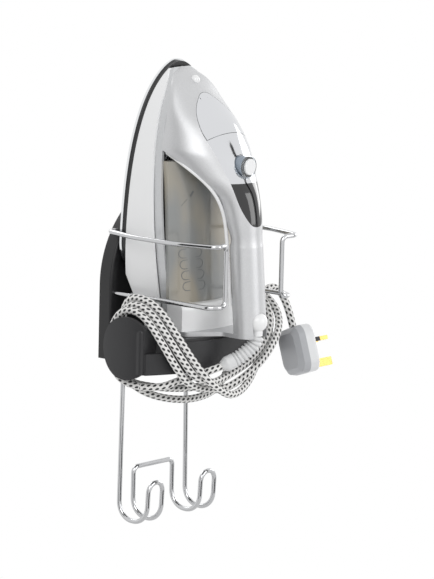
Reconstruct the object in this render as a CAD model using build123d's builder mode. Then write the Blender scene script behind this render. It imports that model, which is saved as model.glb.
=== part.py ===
"""Wall store for a steam iron, with the iron, its wound cord and two hooks for an ironing board.

Millimetres, +Z up. The origin is the centre of the backing plate's rear face, on the wall plane
Y = 0, and the front of the set faces -Y. "Forward" distances in this file are measured from the
wall towards the room, so a point's Y is minus its forward distance.
"""
from build123d import *
import os
from math import cos, pi, radians, sin, tan

os.makedirs("parts", exist_ok=True)

# ---------------------------------------------------------------- driving dimensions
running_gap = 0.3            # between bodies that move past each other
shaft_gap = 0.05             # radial, a shaft in its bore

# backing plate
plate_half = 64.0
plate_bottom = -95.0
plate_shoulder = -25.0       # the straight sides end here
plate_apex = 62.0
plate_depth = 14.0
plate_wall = 3.0
plate_front = 6.0            # thickness of the front panel
plate_pocket = 3.0           # depth of the recess in the front panel
plate_rim = 9.0              # width of the raised rim round the recess
screw_spacing = 90.0         # the two wall screws, one above the other
screw_hole_r = 2.6
screw_boss_r = 7.0
screw_head_r = 5.2
plate_rib = 6.0              # spine between the screw bosses, level with the rear face
plate_edge_r = 2.0
plate_corner_r = 8.0
tray_boss_r = 7.0

# wires
wire_r = 2.25
cage_height = 25.7           # upper run of the iron's cage
cage_low = -31.8             # lower run
cage_rear_half = 58.5
cage_bow_half = 70.0
cage_corner_half = 58.0
cage_inner_half = 40.6
cage_reach = 138.7           # forward end of the upper run
cage_inner_reach = 134.5     # forward end of the inward legs
cage_behind = 6.0            # the upper run passes behind the plate's front here
hook_forward = 15.6          # the hook wire lies in a shallow groove in the plate's front
hook_top = -74.0
hook_top_half = 45.0
hook_outer_half = 48.0
hook_inner_half = 28.0
hook_bottom = -250.0
hook_throat_r = 17.0
hook_tip_up = -219.0
hook_bar = -203.3

# tray
tray_wall = 4.0
tray_nose = 109.0            # forward end of the bowed front
tray_end_half = 98.0         # the ears' outer faces
tray_bottom = -97.0
tray_back_half = 60.0
tray_flange = 5.0            # thickness of the flange that clamps the hook wire
apron_top = -68.0
floor_half = 62.0
floor_front = 65.0           # forward end of the floor's narrow part, between the necks
ledge_half = 66.0            # the apron is lower beyond this, where the cord comes down
ledge_top = -77.0
neck_half_in = 72.0
neck_half_out = 95.0
neck_back = 50.0
neck_front = 82.0
neck_top = -54.0
ear_forward = 62.0
ear_centre = -73.8
ear_half_wide = 26.5
ear_half_tall = 29.5
ear_inside = 93.4            # inner face of the ears behind their front edge
tray_screw_x = 30.0
tray_screw_z = -86.0
tray_screw_r = 1.75
tray_screw_head_r = 3.6
tray_screw_head = 2.2
tray_screw_long = 14.0
ear_middle = 55.0            # the end walls stand widest here
ear_back = 34.0              # rear edge of the tray's end walls
ear_root_half = 92.0         # the end walls meet the bowed front here
ear_root_forward = 84.0
bin_half = 43.0              # box under the floor that stiffens the tray
bin_wall = 3.5
bin_front = 101.0            # the box ends inside the bowed front

# iron
lean = radians(5.0)          # the sole leans forward at the nose
sole_tail_forward = 14.84
sole_tail_z = -15.0
sole_length = 202.8
tail_half = 57.2             # half width of the sole where its round tail begins
tail_corner = 34.0
heel_z = -65.0               # the face that the iron stands on
sole_plate = 2.5
shield_thickness = 4.0
casting_height = 12.0
casting_inset = 9.0
casting_tail = 13.0
skin = 2.5                   # wall of the moulded shells
well_clear = 200.0           # cutting blocks run this far, past everything
vent_r = 1.6
vent_deep = 1.5
lid_along = 67.5             # the steam chamber lid's middle, from the tail
lid_long = 65.0
lid_thick = 2.0
thermostat_along = 23.0
thermostat_r = 8.0
thermostat_tall = 7.0
element_r = 4.0
element_half = 24.0
nozzle_r = 4.5
tube_r = 1.6                 # spray tube
nozzle_forward = 57.5
nozzle_z = 169.0
dial_r = 9.4
dial_z = 94.0
dial_base = 112.0
dial_face = 128.0
dial_shaft_r = 4.0
button_r = 7.6
button_tall = 3.4            # height of the button above its stem; it moves in by 1.6
button_stem = 6.0
flap_tilt = radians(45.0)    # the filling flap is cut square to the shell's sloping front
flap_forward = 85.0          # middle of the flap's outline
flap_z = 141.0
flap_seam = -25.0            # line between the flap and the control head, along the slope
flap_gap = 0.45
flap_hinge_z = 152.2
flap_hinge_forward = 70.7
flap_pin_r = 0.8
flap_knuckle_r = 2.2
hinge_half = 13.0            # half length of the flap's hinge pin
head_behind = 84.0           # the head and insert are cut from the shell in front of these
insert_behind = 119.0
head_bottom = 79.0
insert_bottom = 38.0
cover_seam_z = -42.0
tank_low = -36.0
tank_high = 97.0
tank_side = 47.0
tank_shoulder = 72.0
tank_ridge = 85.5
heel_half = 45.5
heel_front = 92.0
foot_top = heel_z + 4
ball_r = 9.6
ball_forward = 140.3
ball_z = -50.0
sleeve_end_r = 7.0
sleeve_r = 5.0
sleeve_ribs = 7
rib_thick = 2.2
cover_screw_forward = 115.0
pump_forward = 78.0

# cord and plug
cord_r = 3.5

# ---------------------------------------------------------------- shapes shared by the pieces
# Half widths of the iron's plan, each with its distance along the sole from the tail.
plan_points = [(29.0, 185.7), (48.0, 150.6), (58.4, 78.3), (55.5, 20.0), (45.5, -52.0)]
# Sections of the silver shell: height, forward centre, half width, half depth.
shell_sections = [
    (183.0, 34.0, 5.0, 4.0), (175.0, 44.0, 16.5, 7.0), (165.0, 52.0, 27.0, 10.5),
    (155.0, 55.0, 33.0, 16.0), (142.0, 57.0, 38.5, 27.5), (125.0, 59.0, 43.5, 42.5),
    (108.0, 61.0, 48.0, 51.0), (92.0, 78.0, 40.0, 42.0), (76.0, 99.0, 28.5, 29.5),
    (62.0, 114.5, 20.5, 19.5), (50.0, 119.3, 18.7, 17.2), (36.0, 122.8, 17.3, 15.1),
    (20.0, 124.8, 17.0, 14.6)]
grip_end = (-64.0, 132.0, 17.0, 14.6)      # the grip runs straight from the last section to here
# Side views of the two lines along the iron's flank, each two arcs: forward distance, height.
skirt_line = [(22.0, 191.0), (41.0, 176.0), (49.5, 150.0), (56.0, 58.0), (59.0, -70.0)]
band_line = [(28.0, 191.0), (46.5, 173.0), (56.4, 150.0), (63.9, 58.0), (69.0, -70.0)]

sole = Plane(origin=(0, -sole_tail_forward, sole_tail_z), x_dir=(1, 0, 0),
             z_dir=(0, -cos(lean), -sin(lean)))


def at(x, forward, up):
    """A point from its distance to the right, forward from the wall, and up."""
    return (x, -forward, up)


def finish(piece, name):
    """Label a finished piece and write it."""
    piece.label = name
    export_step(piece, f"parts/{name}.step")


def plan(inset, tail=None):
    """Face of the iron's plan, moved inwards; a tail gives it a round rear end there."""
    right = [(x - inset, s - 0.6 * inset) for x, s in plan_points]
    if tail is not None:
        right = right[:-2] + [(tail_half - inset, tail + tail_corner)]
    left = [(-x, s) for x, s in reversed(right)]
    nose = (0, sole_length - 1.4 * inset)
    with BuildSketch(mode=Mode.PRIVATE) as outline:
        with BuildLine():
            side = Spline(*left, nose, *right, tangents=[(-0.06, 1), (-0.06, -1)])
            if tail is None:
                Line(side @ 1, side @ 0)
            else:
                inner = tail_half - inset - tail_corner
                TangentArc(side @ 1, (inner, tail), tangent=side % 1)
                TangentArc(side @ 0, (-inner, tail), tangent=(0.06, -1))
                Line((inner, tail), (-inner, tail))
        make_face()
    return outline.sketch


def flank(line, back=None, front=None):
    """Slab across the whole width whose side view lies behind or in front of a flank line."""
    edge = back if back is not None else front
    with BuildPart(mode=Mode.PRIVATE) as slab:
        with BuildSketch(Plane.YZ.offset(-120)):
            with BuildLine():
                bends = [(-f, z) for f, z in line]
                nose = ThreePointArc(*bends[:3])
                side = ThreePointArc(*bends[2:])
                Polyline(side @ 1, (-edge, line[-1][1]), (-edge, line[0][1]), nose @ 0)
            make_face()
        extrude(amount=240)
    return slab.part


def side_slab(points, half=120.0):
    """Slab across the width whose side view is a polygon of forward distances and heights."""
    with BuildPart(mode=Mode.PRIVATE) as slab:
        with BuildSketch(Plane.YZ.offset(-half)):
            with BuildLine():
                Polyline(*[(-f, z) for f, z in points], close=True)
            make_face()
        extrude(amount=2 * half)
    return slab.part


def wire(points, radii, radius=wire_r):
    """Half of a bent wire, from its middle to its end, mirrored into the whole wire."""
    with BuildPart(mode=Mode.PRIVATE) as half:
        with BuildLine():
            path = FilletPolyline(*[at(*p) for p in points], radius=radii)
        with BuildSketch(Plane(origin=path @ 0, z_dir=path % 0)):
            Circle(radius)
        sweep()
        mirror(about=Plane.YZ)
    return half.part


# ---------------------------------------------------------------- the two wires
hook_points = [
    (0, hook_forward, hook_top), (hook_top_half, hook_forward, hook_top),
    (hook_outer_half, hook_forward, hook_bottom),
    (hook_outer_half, hook_forward + 2 * hook_throat_r + 1, hook_bottom),
    (hook_outer_half, hook_forward + 2 * hook_throat_r + 3, hook_tip_up + 8),
    (hook_inner_half, hook_forward + 2 * hook_throat_r + 3, hook_tip_up + 8),
    (hook_inner_half, hook_forward + 2 * hook_throat_r + 1, hook_bottom),
    (hook_inner_half, hook_forward, hook_bottom), (hook_inner_half, hook_forward, hook_bar),
    (0, hook_forward, hook_bar)]
hook_radii = [6, hook_throat_r, hook_throat_r, 9.5, 9.5, hook_throat_r, hook_throat_r, 6]
hook_wire = wire(hook_points, hook_radii)
finish(hook_wire, "hook_wire")

cage_points = [
    (0, cage_behind, cage_height), (cage_rear_half, cage_behind, cage_height),
    (cage_bow_half - 1, 45, cage_height), (cage_bow_half, 95, cage_height),
    (cage_corner_half, cage_reach, cage_height),
    (cage_inner_half, cage_inner_reach, cage_height),
    (cage_inner_half, cage_inner_reach, cage_low),
    (cage_corner_half, cage_inner_reach, cage_low), (cage_corner_half, cage_behind, cage_low)]
cage_radii = [6, 60, 60, 7, 6, 6, 11]
cage_wire = wire(cage_points, cage_radii)
finish(cage_wire, "cage_wire")

# ---------------------------------------------------------------- backing plate
def plate_outline(inset):
    """Face of the backing plate: straight sides, then a pointed arch, moved inwards."""
    half = plate_half - inset
    with BuildSketch(mode=Mode.PRIVATE) as outline:
        with BuildLine():
            Line((0, plate_bottom + inset), (half, plate_bottom + inset))
            side = Line((half, plate_bottom + inset), (half, plate_shoulder))
            TangentArc(side @ 1, (0, plate_apex - 1.2 * inset), tangent=(0, 1))
            mirror(about=Plane.YZ)
        make_face()
        fillet(outline.vertices().group_by(Axis.Y)[-1], plate_corner_r)
    return outline.sketch


with BuildPart() as back_plate:
    with BuildSketch(Plane.XZ):
        add(plate_outline(0))
    extrude(amount=plate_depth)
    fillet(back_plate.faces().sort_by(Axis.Y)[0].edges(), plate_edge_r)
    with BuildSketch(Plane.XZ):
        add(plate_outline(plate_wall))
    extrude(amount=plate_depth - plate_front, mode=Mode.SUBTRACT)
    with BuildSketch(Plane.XZ.offset(plate_depth)):
        add(plate_outline(plate_rim))
    extrude(amount=-plate_pocket, mode=Mode.SUBTRACT)
    with BuildSketch(Plane.XZ):
        with GridLocations(0, screw_spacing, 1, 2):
            Circle(screw_boss_r)
        Rectangle(plate_rib, screw_spacing)
        for x in (-tray_screw_x, tray_screw_x):
            with Locations((x, tray_screw_z)):
                Circle(tray_boss_r)
        for x in (-cage_corner_half, cage_corner_half):
            with Locations((x, cage_low)):
                Rectangle(2 * plate_wall, 5 * wire_r)
        with Locations((0, cage_height)):
            Rectangle(4 * wire_r, 3 * wire_r)
    extrude(amount=plate_depth - plate_pocket - 1)
    with Locations(*[Location(at(0, plate_depth - plate_pocket, z), (90, 0, 0))
                     for z in (-screw_spacing / 2, screw_spacing / 2)]):
        CounterSinkHole(screw_hole_r, screw_head_r)
    with BuildSketch(Plane.XZ):
        for x in (-tray_screw_x, tray_screw_x):
            with Locations((x, tray_screw_z)):
                Circle(tray_screw_r + shaft_gap)
    extrude(amount=plate_depth, mode=Mode.SUBTRACT)
    add(cage_wire, mode=Mode.SUBTRACT)
    add(hook_wire, mode=Mode.SUBTRACT)
finish(back_plate.part, "back_plate")

# ---------------------------------------------------------------- tray
def cord_necks():
    """The two hollow necks behind the ears, which the cord goes over."""
    middle = ((neck_half_in + neck_half_out) / 2, -(neck_back + neck_front) / 2)
    wide, deep = neck_half_out - neck_half_in, neck_front - neck_back
    with BuildPart(mode=Mode.PRIVATE) as neck:
        with BuildSketch(Plane.XY.offset(tray_bottom)):
            with Locations(middle):
                RectangleRounded(wide, deep, 5)
        extrude(amount=neck_top - tray_bottom)
        fillet(neck.faces().sort_by(Axis.Z)[-1].edges(), 4)
        with BuildSketch(Plane.XY.offset(tray_bottom)):
            with Locations(middle):
                RectangleRounded(wide - 2 * skin, deep - 2 * skin, 3)
        extrude(amount=neck_top - tray_bottom - skin, mode=Mode.SUBTRACT)
        mirror(about=Plane.YZ)
    return neck.part


necks = cord_necks()
with BuildPart() as tray:
    with BuildSketch(mode=Mode.PRIVATE) as footprint:
        with BuildLine():
            ear_side = ThreePointArc((tray_end_half - 1, -ear_back), (tray_end_half, -ear_middle),
                                     (ear_root_half, -ear_root_forward))
            ThreePointArc(ear_side @ 1, (0, -tray_nose), (-ear_root_half, -ear_root_forward))
            mirror(ear_side, about=Plane.YZ)
            Line((tray_end_half - 1, -ear_back), (1 - tray_end_half, -ear_back))
        make_face()
    with BuildSketch(mode=Mode.PRIVATE) as band:
        add(footprint.sketch)
        with BuildSketch(mode=Mode.PRIVATE) as core:
            add(footprint.sketch)
            offset(amount=-tray_wall)
            with Locations((0, -ear_back)):
                Rectangle(2 * ear_inside, 60)
        add(core.sketch, mode=Mode.SUBTRACT)
    # the bowed apron
    with BuildSketch(Plane.XY.offset(tray_bottom)):
        add(band.sketch)
        with Locations((0, -tray_nose)):
            Rectangle(300, 2 * (tray_nose - neck_front), mode=Mode.INTERSECT)
    extrude(amount=apron_top - tray_bottom)
    # the ears: the same wall, trimmed to an egg in side view
    with BuildPart(mode=Mode.PRIVATE) as ears:
        with BuildSketch(Plane.XY.offset(ear_centre - ear_half_tall)):
            add(band.sketch)
        extrude(amount=2 * ear_half_tall)
        with BuildSketch(Plane.YZ):
            with Locations((-ear_forward, ear_centre)):
                Ellipse(ear_half_wide, ear_half_tall)
        extrude(amount=120, both=True, mode=Mode.INTERSECT)
        with BuildSketch(Plane.XZ):
            with Locations((0, ear_centre)):
                Rectangle(2 * 80, 100)
        extrude(amount=150, mode=Mode.SUBTRACT)
    add(ears.part)
    # floor, necks that the cord goes over, and the flange against the plate
    with BuildSketch(Plane.XY.offset(heel_z - running_gap)):
        with Locations((0, -(plate_depth + floor_front) / 2)):
            Rectangle(2 * floor_half, floor_front - plate_depth)
        with Locations((0, -(neck_back + neck_front) / 2)):
            Rectangle(2 * 93, neck_front - neck_back)
        with BuildSketch(mode=Mode.PRIVATE) as bow:
            add(footprint.sketch)
            offset(amount=-tray_wall / 2)
            with Locations((0, -neck_front - 30)):
                Rectangle(300, 60, mode=Mode.INTERSECT)
        add(bow.sketch)
    extrude(amount=-tray_wall)
    with BuildSketch(Plane.XY.offset(ledge_top)):
        for side_x in (-1, 1):
            with Locations((side_x * (ledge_half + 20), -neck_front - 20)):
                Rectangle(40, 40)
    extrude(amount=60, mode=Mode.SUBTRACT)
    add(necks)
    with BuildSketch(Plane.XZ.offset(plate_depth)):
        with Locations((0, (tray_bottom + 1 + heel_z) / 2)):
            Rectangle(2 * tray_back_half, heel_z - tray_bottom - 1)
    extrude(amount=tray_flange)
    with BuildSketch(Plane.YZ):
        with BuildLine():
            Polyline((-plate_depth - 3, tray_bottom + 4), (-plate_depth - 3, heel_z - 2),
                     (-bin_front, heel_z - 2), (-bin_front, tray_bottom + 14), close=True)
        make_face()
    extrude(amount=bin_half, both=True)
    with BuildSketch(Plane.YZ):
        with BuildLine():
            flange_front = plate_depth + tray_flange
            Polyline((-flange_front, tray_bottom), (-flange_front, heel_z - 5),
                     (-bin_front + bin_wall, heel_z - 5), (-bin_front + bin_wall, tray_bottom),
                     close=True)
        make_face()
    extrude(amount=bin_half - bin_wall, both=True, mode=Mode.SUBTRACT)
    for x in (-tray_screw_x, tray_screw_x):
        with Locations(Location(at(x, plate_depth + tray_flange, tray_screw_z), (90, 0, 0))):
            Hole(tray_screw_r + shaft_gap + running_gap, depth=tray_flange)
    add(hook_wire, mode=Mode.SUBTRACT)
finish(tray.part, "tray")

with BuildPart() as tray_screws:
    for x in (-tray_screw_x, tray_screw_x):
        with BuildSketch(Plane.XZ.offset(plate_depth + tray_flange)):
            with Locations((x, tray_screw_z)):
                Circle(tray_screw_head_r)
        extrude(amount=tray_screw_head)
        with BuildSketch(Plane.XZ.offset(plate_depth + tray_flange)):
            with Locations((x, tray_screw_z)):
                Circle(tray_screw_r)
        extrude(amount=-tray_screw_long)
        with BuildSketch(Plane.XZ.offset(plate_depth + tray_flange + tray_screw_head)):
            with Locations((x, tray_screw_z)):
                Rectangle(4.4, 0.9)
                Rectangle(0.9, 4.4)
        extrude(amount=-1.4, mode=Mode.SUBTRACT)
finish(tray_screws.part, "tray_screws")

# ---------------------------------------------------------------- iron: hot base
with BuildPart() as heating_element:
    with BuildLine():
        loop = FilletPolyline((-element_half, 13), (-element_half, 95), (0, 150), (element_half, 95),
                              (element_half, 13), radius=[30, 14, 30])
        u_path = sole.offset(casting_height) * loop
    with BuildSketch(Plane(origin=u_path @ 0, z_dir=u_path % 0)):
        Circle(element_r)
    sweep(path=u_path)
finish(heating_element.part, "heating_element")

with BuildPart() as soleplate:
    with BuildSketch(sole):
        add(plan(0, tail=0))
    extrude(amount=sole_plate)
    with BuildSketch(sole.offset(sole_plate)):
        add(plan(casting_inset, tail=casting_tail))
    extrude(amount=casting_height - sole_plate)
    with BuildLine(mode=Mode.PRIVATE) as vent_rows:
        vent_row = Spline((0, sole_length - 20), *[(x - 14, s - 9) for x, s in plan_points[:4]],
                          tangents=[(1, 0), (-0.12, -1)])
    with BuildSketch(sole):
        for step in range(1, 12):
            x, s, _ = vent_row @ (step / 12)
            with Locations((x, s), (-x, s)):
                Circle(vent_r)
        with Locations((0, sole_length - 20), (0, 150), (-12, 140), (12, 140)):
            Circle(vent_r)
    extrude(amount=vent_deep, mode=Mode.SUBTRACT)
    add(heating_element.part, mode=Mode.SUBTRACT)
finish(soleplate.part, "soleplate")

with BuildPart() as steam_chamber_lid:
    with BuildSketch(sole.offset(casting_height)):
        with Locations((0, lid_along)):
            RectangleRounded(2 * (element_half - element_r - 2), lid_long, 8)
    extrude(amount=lid_thick)
    with BuildSketch(sole.offset(casting_height + lid_thick)):
        with Locations((0, lid_along)):
            with GridLocations(26, 52, 2, 2):
                Circle(2.2)
    extrude(amount=1.4)
finish(steam_chamber_lid.part, "steam_chamber_lid")

with BuildPart() as thermostat:
    with BuildSketch(sole.offset(casting_height)):
        with Locations((0, thermostat_along)):
            Circle(thermostat_r)
    extrude(amount=thermostat_tall)
    with BuildSketch(sole.offset(casting_height + thermostat_tall)):
        with Locations((0, thermostat_along)):
            Rectangle(10, 18)
    extrude(amount=3)
finish(thermostat.part, "thermostat")

with BuildPart() as heat_shield:
    with BuildSketch(sole.offset(sole_plate)):
        add(plan(1.0, tail=1.0))
        add(plan(casting_inset, tail=casting_tail), mode=Mode.SUBTRACT)
    extrude(amount=shield_thickness)
finish(heat_shield.part, "heat_shield")

# ---------------------------------------------------------------- iron: flank shells
shield_top = sole_plate + shield_thickness
heel_view = [(-20, 200), (sole_tail_forward + 6, sole_tail_z + 3), (41, heel_z), (200, heel_z),
             (200, 200)]
heel_view_inner = [(-20, 200), (sole_tail_forward + 9.5, sole_tail_z + 3),
                   (43.5, heel_z + skin), (200, heel_z + skin), (200, 200)]


def flank_form(low, low_inset, high, high_inset):
    """Solid whose plan narrows from one height above the sole to another."""
    with BuildPart(mode=Mode.PRIVATE) as form:
        with BuildSketch(sole.offset(low)):
            add(plan(low_inset))
        with BuildSketch(sole.offset(high)):
            add(plan(high_inset))
        loft()
    return form.part


with BuildPart() as skirt:
    add(flank_form(shield_top, 1.2, 60, 4.0))
    add(flank(skirt_line, back=-20), mode=Mode.INTERSECT)
    add(side_slab(heel_view), mode=Mode.INTERSECT)
    with BuildPart(mode=Mode.PRIVATE) as hollow:
        add(flank_form(shield_top - 1, 1.2 + skin, 61, 4.0 + skin))
        add(side_slab(heel_view_inner), mode=Mode.INTERSECT)
    add(hollow.part, mode=Mode.SUBTRACT)
finish(skirt.part, "skirt")

with BuildPart() as accent_band:
    add(flank_form(9, 2.4, 58, 8.6))
    add(flank(skirt_line, front=120), mode=Mode.INTERSECT)
    add(flank(band_line, back=-20), mode=Mode.INTERSECT)
    add(side_slab(heel_view), mode=Mode.INTERSECT)
    add(flank_form(8, 2.4 + skin, 59, 8.6 + skin), mode=Mode.SUBTRACT)
finish(accent_band.part, "accent_band")

# ---------------------------------------------------------------- iron: silver shell and handle
def shell_loft(sections, inset=0.0, ruled=False):
    """Solid through oval sections of the silver shell, moved inwards."""
    with BuildPart(mode=Mode.PRIVATE) as form:
        for up, forward, half_w, half_d in sections:
            with BuildSketch(Plane.XY.offset(up)):
                with Locations((0, -forward)):
                    Ellipse(half_w - inset, half_d - inset)
        loft(ruled=ruled)
    return form.part


with BuildPart(mode=Mode.PRIVATE) as shell_form:
    add(shell_loft(shell_sections))
    add(shell_loft([shell_sections[-1], grip_end]))
    add(flank(band_line, front=200), mode=Mode.INTERSECT)
with BuildPart(mode=Mode.PRIVATE) as shell_cavity:
    add(shell_loft(shell_sections[2:9], skin, ruled=True))

# Half of the front outline of the control head and the insert below it: half width, height.
leaf = [(28.5, 126.0), (27.6, 117.0), (23.6, 98.7), (19.6, 81.0), (16.4, 64.2), (12.5, 50.0),
        (8.0, 42.0), (0.0, 39.0)]
# Half of the filling flap's outline: half width, distance up the slope.
flap_leaf = [(0.0, 24.3), (10.0, 19.8), (19.0, 10.7), (25.5, -0.9), (28.3, -14.3), (27.6, flap_seam)]
flap_frame = Plane(origin=at(0, flap_forward, flap_z), x_dir=(1, 0, 0),
                   z_dir=(0, -cos(flap_tilt), sin(flap_tilt)))
# The hand opening's rim in side view, from the flank to the grip.
rim = [(40, 107), (61.8, 106.6), (78, 95.5), (91, 86), (101, 76), (108, 64), (112, 45), (112, -66),
       (40, -66)]
rim_space = side_slab(rim)


def flap_prism(gap):
    """Block of space through the shell's sloping front, inside the filling flap's outline."""
    points = [(x * (1 - gap / flap_leaf[-1][0]), y * (1 + gap / flap_seam)) for x, y in flap_leaf]
    with BuildPart(mode=Mode.PRIVATE) as prism:
        with BuildSketch(flap_frame):
            with BuildLine():
                side = Spline(*points, tangents=[(1, 0), (-0.12, -1)])
                mirror(side, about=Plane.YZ)
                Line(points[-1], (-points[-1][0], points[-1][1]))
            make_face()
        extrude(amount=30, both=True)
    return prism.part


def leaf_prism(low, high, behind):
    """Block of space in front of the shell inside the leaf outline, between two heights."""
    with BuildPart(mode=Mode.PRIVATE) as prism:
        with BuildSketch(Plane.XZ.offset(behind)):
            with BuildLine():
                side = Spline(*leaf, tangents=[(-0.05, -1), (-1, 0)])
                mirror(side, about=Plane.YZ)
                Line(leaf[0], (-leaf[0][0], leaf[0][1]))
            make_face()
            with Locations((0, (low + high) / 2)):
                Rectangle(100, high - low, mode=Mode.INTERSECT)
        extrude(amount=well_clear - behind)
        with BuildSketch(flap_frame.offset(-100)):
            with Locations((0, flap_seam + 50)):
                Rectangle(100, 100)
        extrude(amount=200, mode=Mode.SUBTRACT)
    return prism.part


flap_space = flap_prism(0)
head_space = leaf_prism(head_bottom, leaf[0][1], head_behind)
insert_space = leaf_prism(insert_bottom, head_bottom, insert_behind)
with BuildPart(mode=Mode.PRIVATE) as cover_space:
    with BuildSketch(Plane.XY.offset(cover_seam_z)):
        with Locations((0, -110)):
            Rectangle(120, 180)
    extrude(amount=-40)


def hollowed(form):
    """The part of the silver shell's outer form, with the hand opening and the cavity cut out."""
    with BuildPart(mode=Mode.PRIVATE) as piece:
        add(form)
        add(rim_space, mode=Mode.SUBTRACT)
        add(shell_cavity.part, mode=Mode.SUBTRACT)
    return piece.part


def within(space):
    """The silver shell's outer form inside a block of space."""
    with BuildPart(mode=Mode.PRIVATE) as piece:
        add(shell_form.part)
        add(space, mode=Mode.INTERSECT)
    return piece.part


with BuildPart(mode=Mode.PRIVATE) as shell_rest:
    add(shell_form.part)
    for space in (flap_space, head_space, insert_space, cover_space.part):
        add(space, mode=Mode.SUBTRACT)
shell_blank = hollowed(shell_rest.part)
with BuildPart() as shell:
    add(shell_blank)
    with Locations(at(0, nozzle_forward, nozzle_z)):
        Sphere(nozzle_r, mode=Mode.SUBTRACT)
        Cylinder(tube_r + running_gap, 12, align=(Align.CENTER, Align.CENTER, Align.MAX),
                 mode=Mode.SUBTRACT)
    with Locations(at(0, flap_hinge_forward, flap_hinge_z)):
        Cylinder(flap_pin_r, 2 * hinge_half, rotation=(0, 90, 0), mode=Mode.SUBTRACT)
    with Locations(at(0, ball_forward, ball_z)):
        Sphere(ball_r + running_gap, mode=Mode.SUBTRACT)
finish(shell.part, "shell")

with BuildPart() as spray_nozzle:
    with Locations(at(0, nozzle_forward, nozzle_z)):
        Sphere(nozzle_r)
        Cylinder(0.6, 12, rotation=(90, 0, 0), mode=Mode.SUBTRACT)
finish(spray_nozzle.part, "spray_nozzle")

flap_form = hollowed(within(flap_prism(flap_gap)))
with BuildPart() as fill_flap:
    add(flap_form)
    with Locations(at(-5, flap_hinge_forward, flap_hinge_z), at(5, flap_hinge_forward, flap_hinge_z)):
        Cylinder(flap_knuckle_r, 8, rotation=(0, 90, 0))
    with Locations(at(0, flap_hinge_forward, flap_hinge_z)):
        Cylinder(flap_pin_r + shaft_gap, 60, rotation=(0, 90, 0), mode=Mode.SUBTRACT)
finish(fill_flap.part, "fill_flap")

head_form = hollowed(within(head_space))
with BuildPart(mode=Mode.PRIVATE) as dial_socket:
    with BuildSketch(Plane.XZ.offset(dial_base - 4)):
        with Locations((0, dial_z)):
            Circle(dial_r + 3)
    extrude(amount=20)
    add(shell_form.part, mode=Mode.INTERSECT)
with BuildPart() as control_head:
    add(head_form)
    add(dial_socket.part)
    with Locations(at(0, dial_base, dial_z)):
        Cylinder(dial_r + 1.2, 60, rotation=(90, 0, 0),
                 align=(Align.CENTER, Align.CENTER, Align.MIN), mode=Mode.SUBTRACT)
        Cylinder(dial_shaft_r + shaft_gap, 60, rotation=(90, 0, 0), mode=Mode.SUBTRACT)
finish(control_head.part, "control_head")

with BuildPart() as grip_insert:
    add(hollowed(within(insert_space)))
finish(grip_insert.part, "grip_insert")

# dial and its push button
dial_start = dial_base + running_gap
with BuildPart() as steam_dial:
    with BuildSketch(Plane.XZ.offset(dial_start)):
        with Locations((0, dial_z)):
            Circle(dial_r)
    extrude(amount=dial_face - 4 - dial_start)
    fillet(steam_dial.faces().sort_by(Axis.Y)[-1].edges(), 0.8)
    with BuildSketch(Plane.XZ.offset(dial_start)):
        with Locations((0, dial_z)):
            Circle(dial_shaft_r)
    extrude(amount=-14)
    with BuildSketch(Plane.XZ.offset(dial_face - 4)):
        with Locations((0, dial_z)):
            Circle(button_r + running_gap)
    extrude(amount=-4.5, mode=Mode.SUBTRACT)
    with BuildSketch(Plane.XZ.offset(dial_face - 4)):
        with Locations((0, dial_z)):
            Circle(1.8)
    extrude(amount=-14, mode=Mode.SUBTRACT)
finish(steam_dial.part, "steam_dial")

with BuildPart() as dial_ring:
    with BuildSketch(Plane.XZ.offset(dial_face - 4)):
        with Locations((0, dial_z)):
            Circle(dial_r + 0.5)
            Circle(button_r + running_gap, mode=Mode.SUBTRACT)
    extrude(amount=2.2)
finish(dial_ring.part, "dial_ring")

with BuildPart() as boost_button:
    with BuildSketch(Plane.XZ.offset(dial_face - button_tall)):
        with Locations((0, dial_z)):
            Circle(button_r)
    extrude(amount=button_tall)
    fillet(boost_button.faces().sort_by(Axis.Y)[0].edges(), 1)
    with BuildSketch(Plane.XZ.offset(dial_face - button_tall)):
        with Locations((0, dial_z)):
            Circle(1.5)
    extrude(amount=-button_stem)
finish(boost_button.part, "boost_button")

# ---------------------------------------------------------------- iron: tank, heel and cord exit
roof_lean = (band_line[-1][0] - band_line[-2][0]) / (band_line[-2][1] - band_line[-1][1])


def tank_form(inset):
    """The tank's outer form, moved inwards."""
    low = tank_low + inset
    with BuildPart(mode=Mode.PRIVATE) as form:
        with BuildSketch(Plane.XY.offset(low)):
            with BuildLine():
                crown = ThreePointArc((-tank_side + inset, -tank_shoulder + inset),
                                      (0, -tank_ridge + inset),
                                      (tank_side - inset, -tank_shoulder + inset))
                Polyline(crown @ 1, (tank_side - inset, -40), (-tank_side + inset, -40), crown @ 0)
            make_face()
        extrude(amount=(tank_high - tank_low - 2 * inset), dir=(0, roof_lean, 1))
    return form.part


with BuildPart(mode=Mode.PRIVATE) as tank_hollow:
    add(tank_form(2))
    add(flank([(f + 2, z) for f, z in band_line], front=200), mode=Mode.INTERSECT)
with BuildPart() as water_tank:
    add(tank_form(0))
    add(flank(band_line, front=200), mode=Mode.INTERSECT)
    add(tank_hollow.part, mode=Mode.SUBTRACT)
finish(water_tank.part, "water_tank")

with BuildPart() as heel_block:
    with BuildSketch(Plane.XY.offset(foot_top)):
        with BuildLine():
            crown = ThreePointArc((-heel_half, -heel_front + 5), (0, -heel_front - 4),
                                  (heel_half, -heel_front + 5))
            Polyline(crown @ 1, (heel_half, -40), (-heel_half, -40), crown @ 0)
        make_face()
    extrude(amount=tank_low - foot_top)
    top_front = heel_block.faces().sort_by(Axis.Z)[-1].edges().sort_by(Axis.Y)[0]
    fillet(top_front, 5)
    add(flank(band_line, front=200), mode=Mode.INTERSECT)
    with BuildSketch(Plane.XY.offset(foot_top)):
        with Locations((0, -79)):
            Rectangle(2 * (heel_half - 3), 12)
    extrude(amount=tank_low - foot_top - 3, mode=Mode.SUBTRACT)
finish(heel_block.part, "heel_block")

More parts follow.
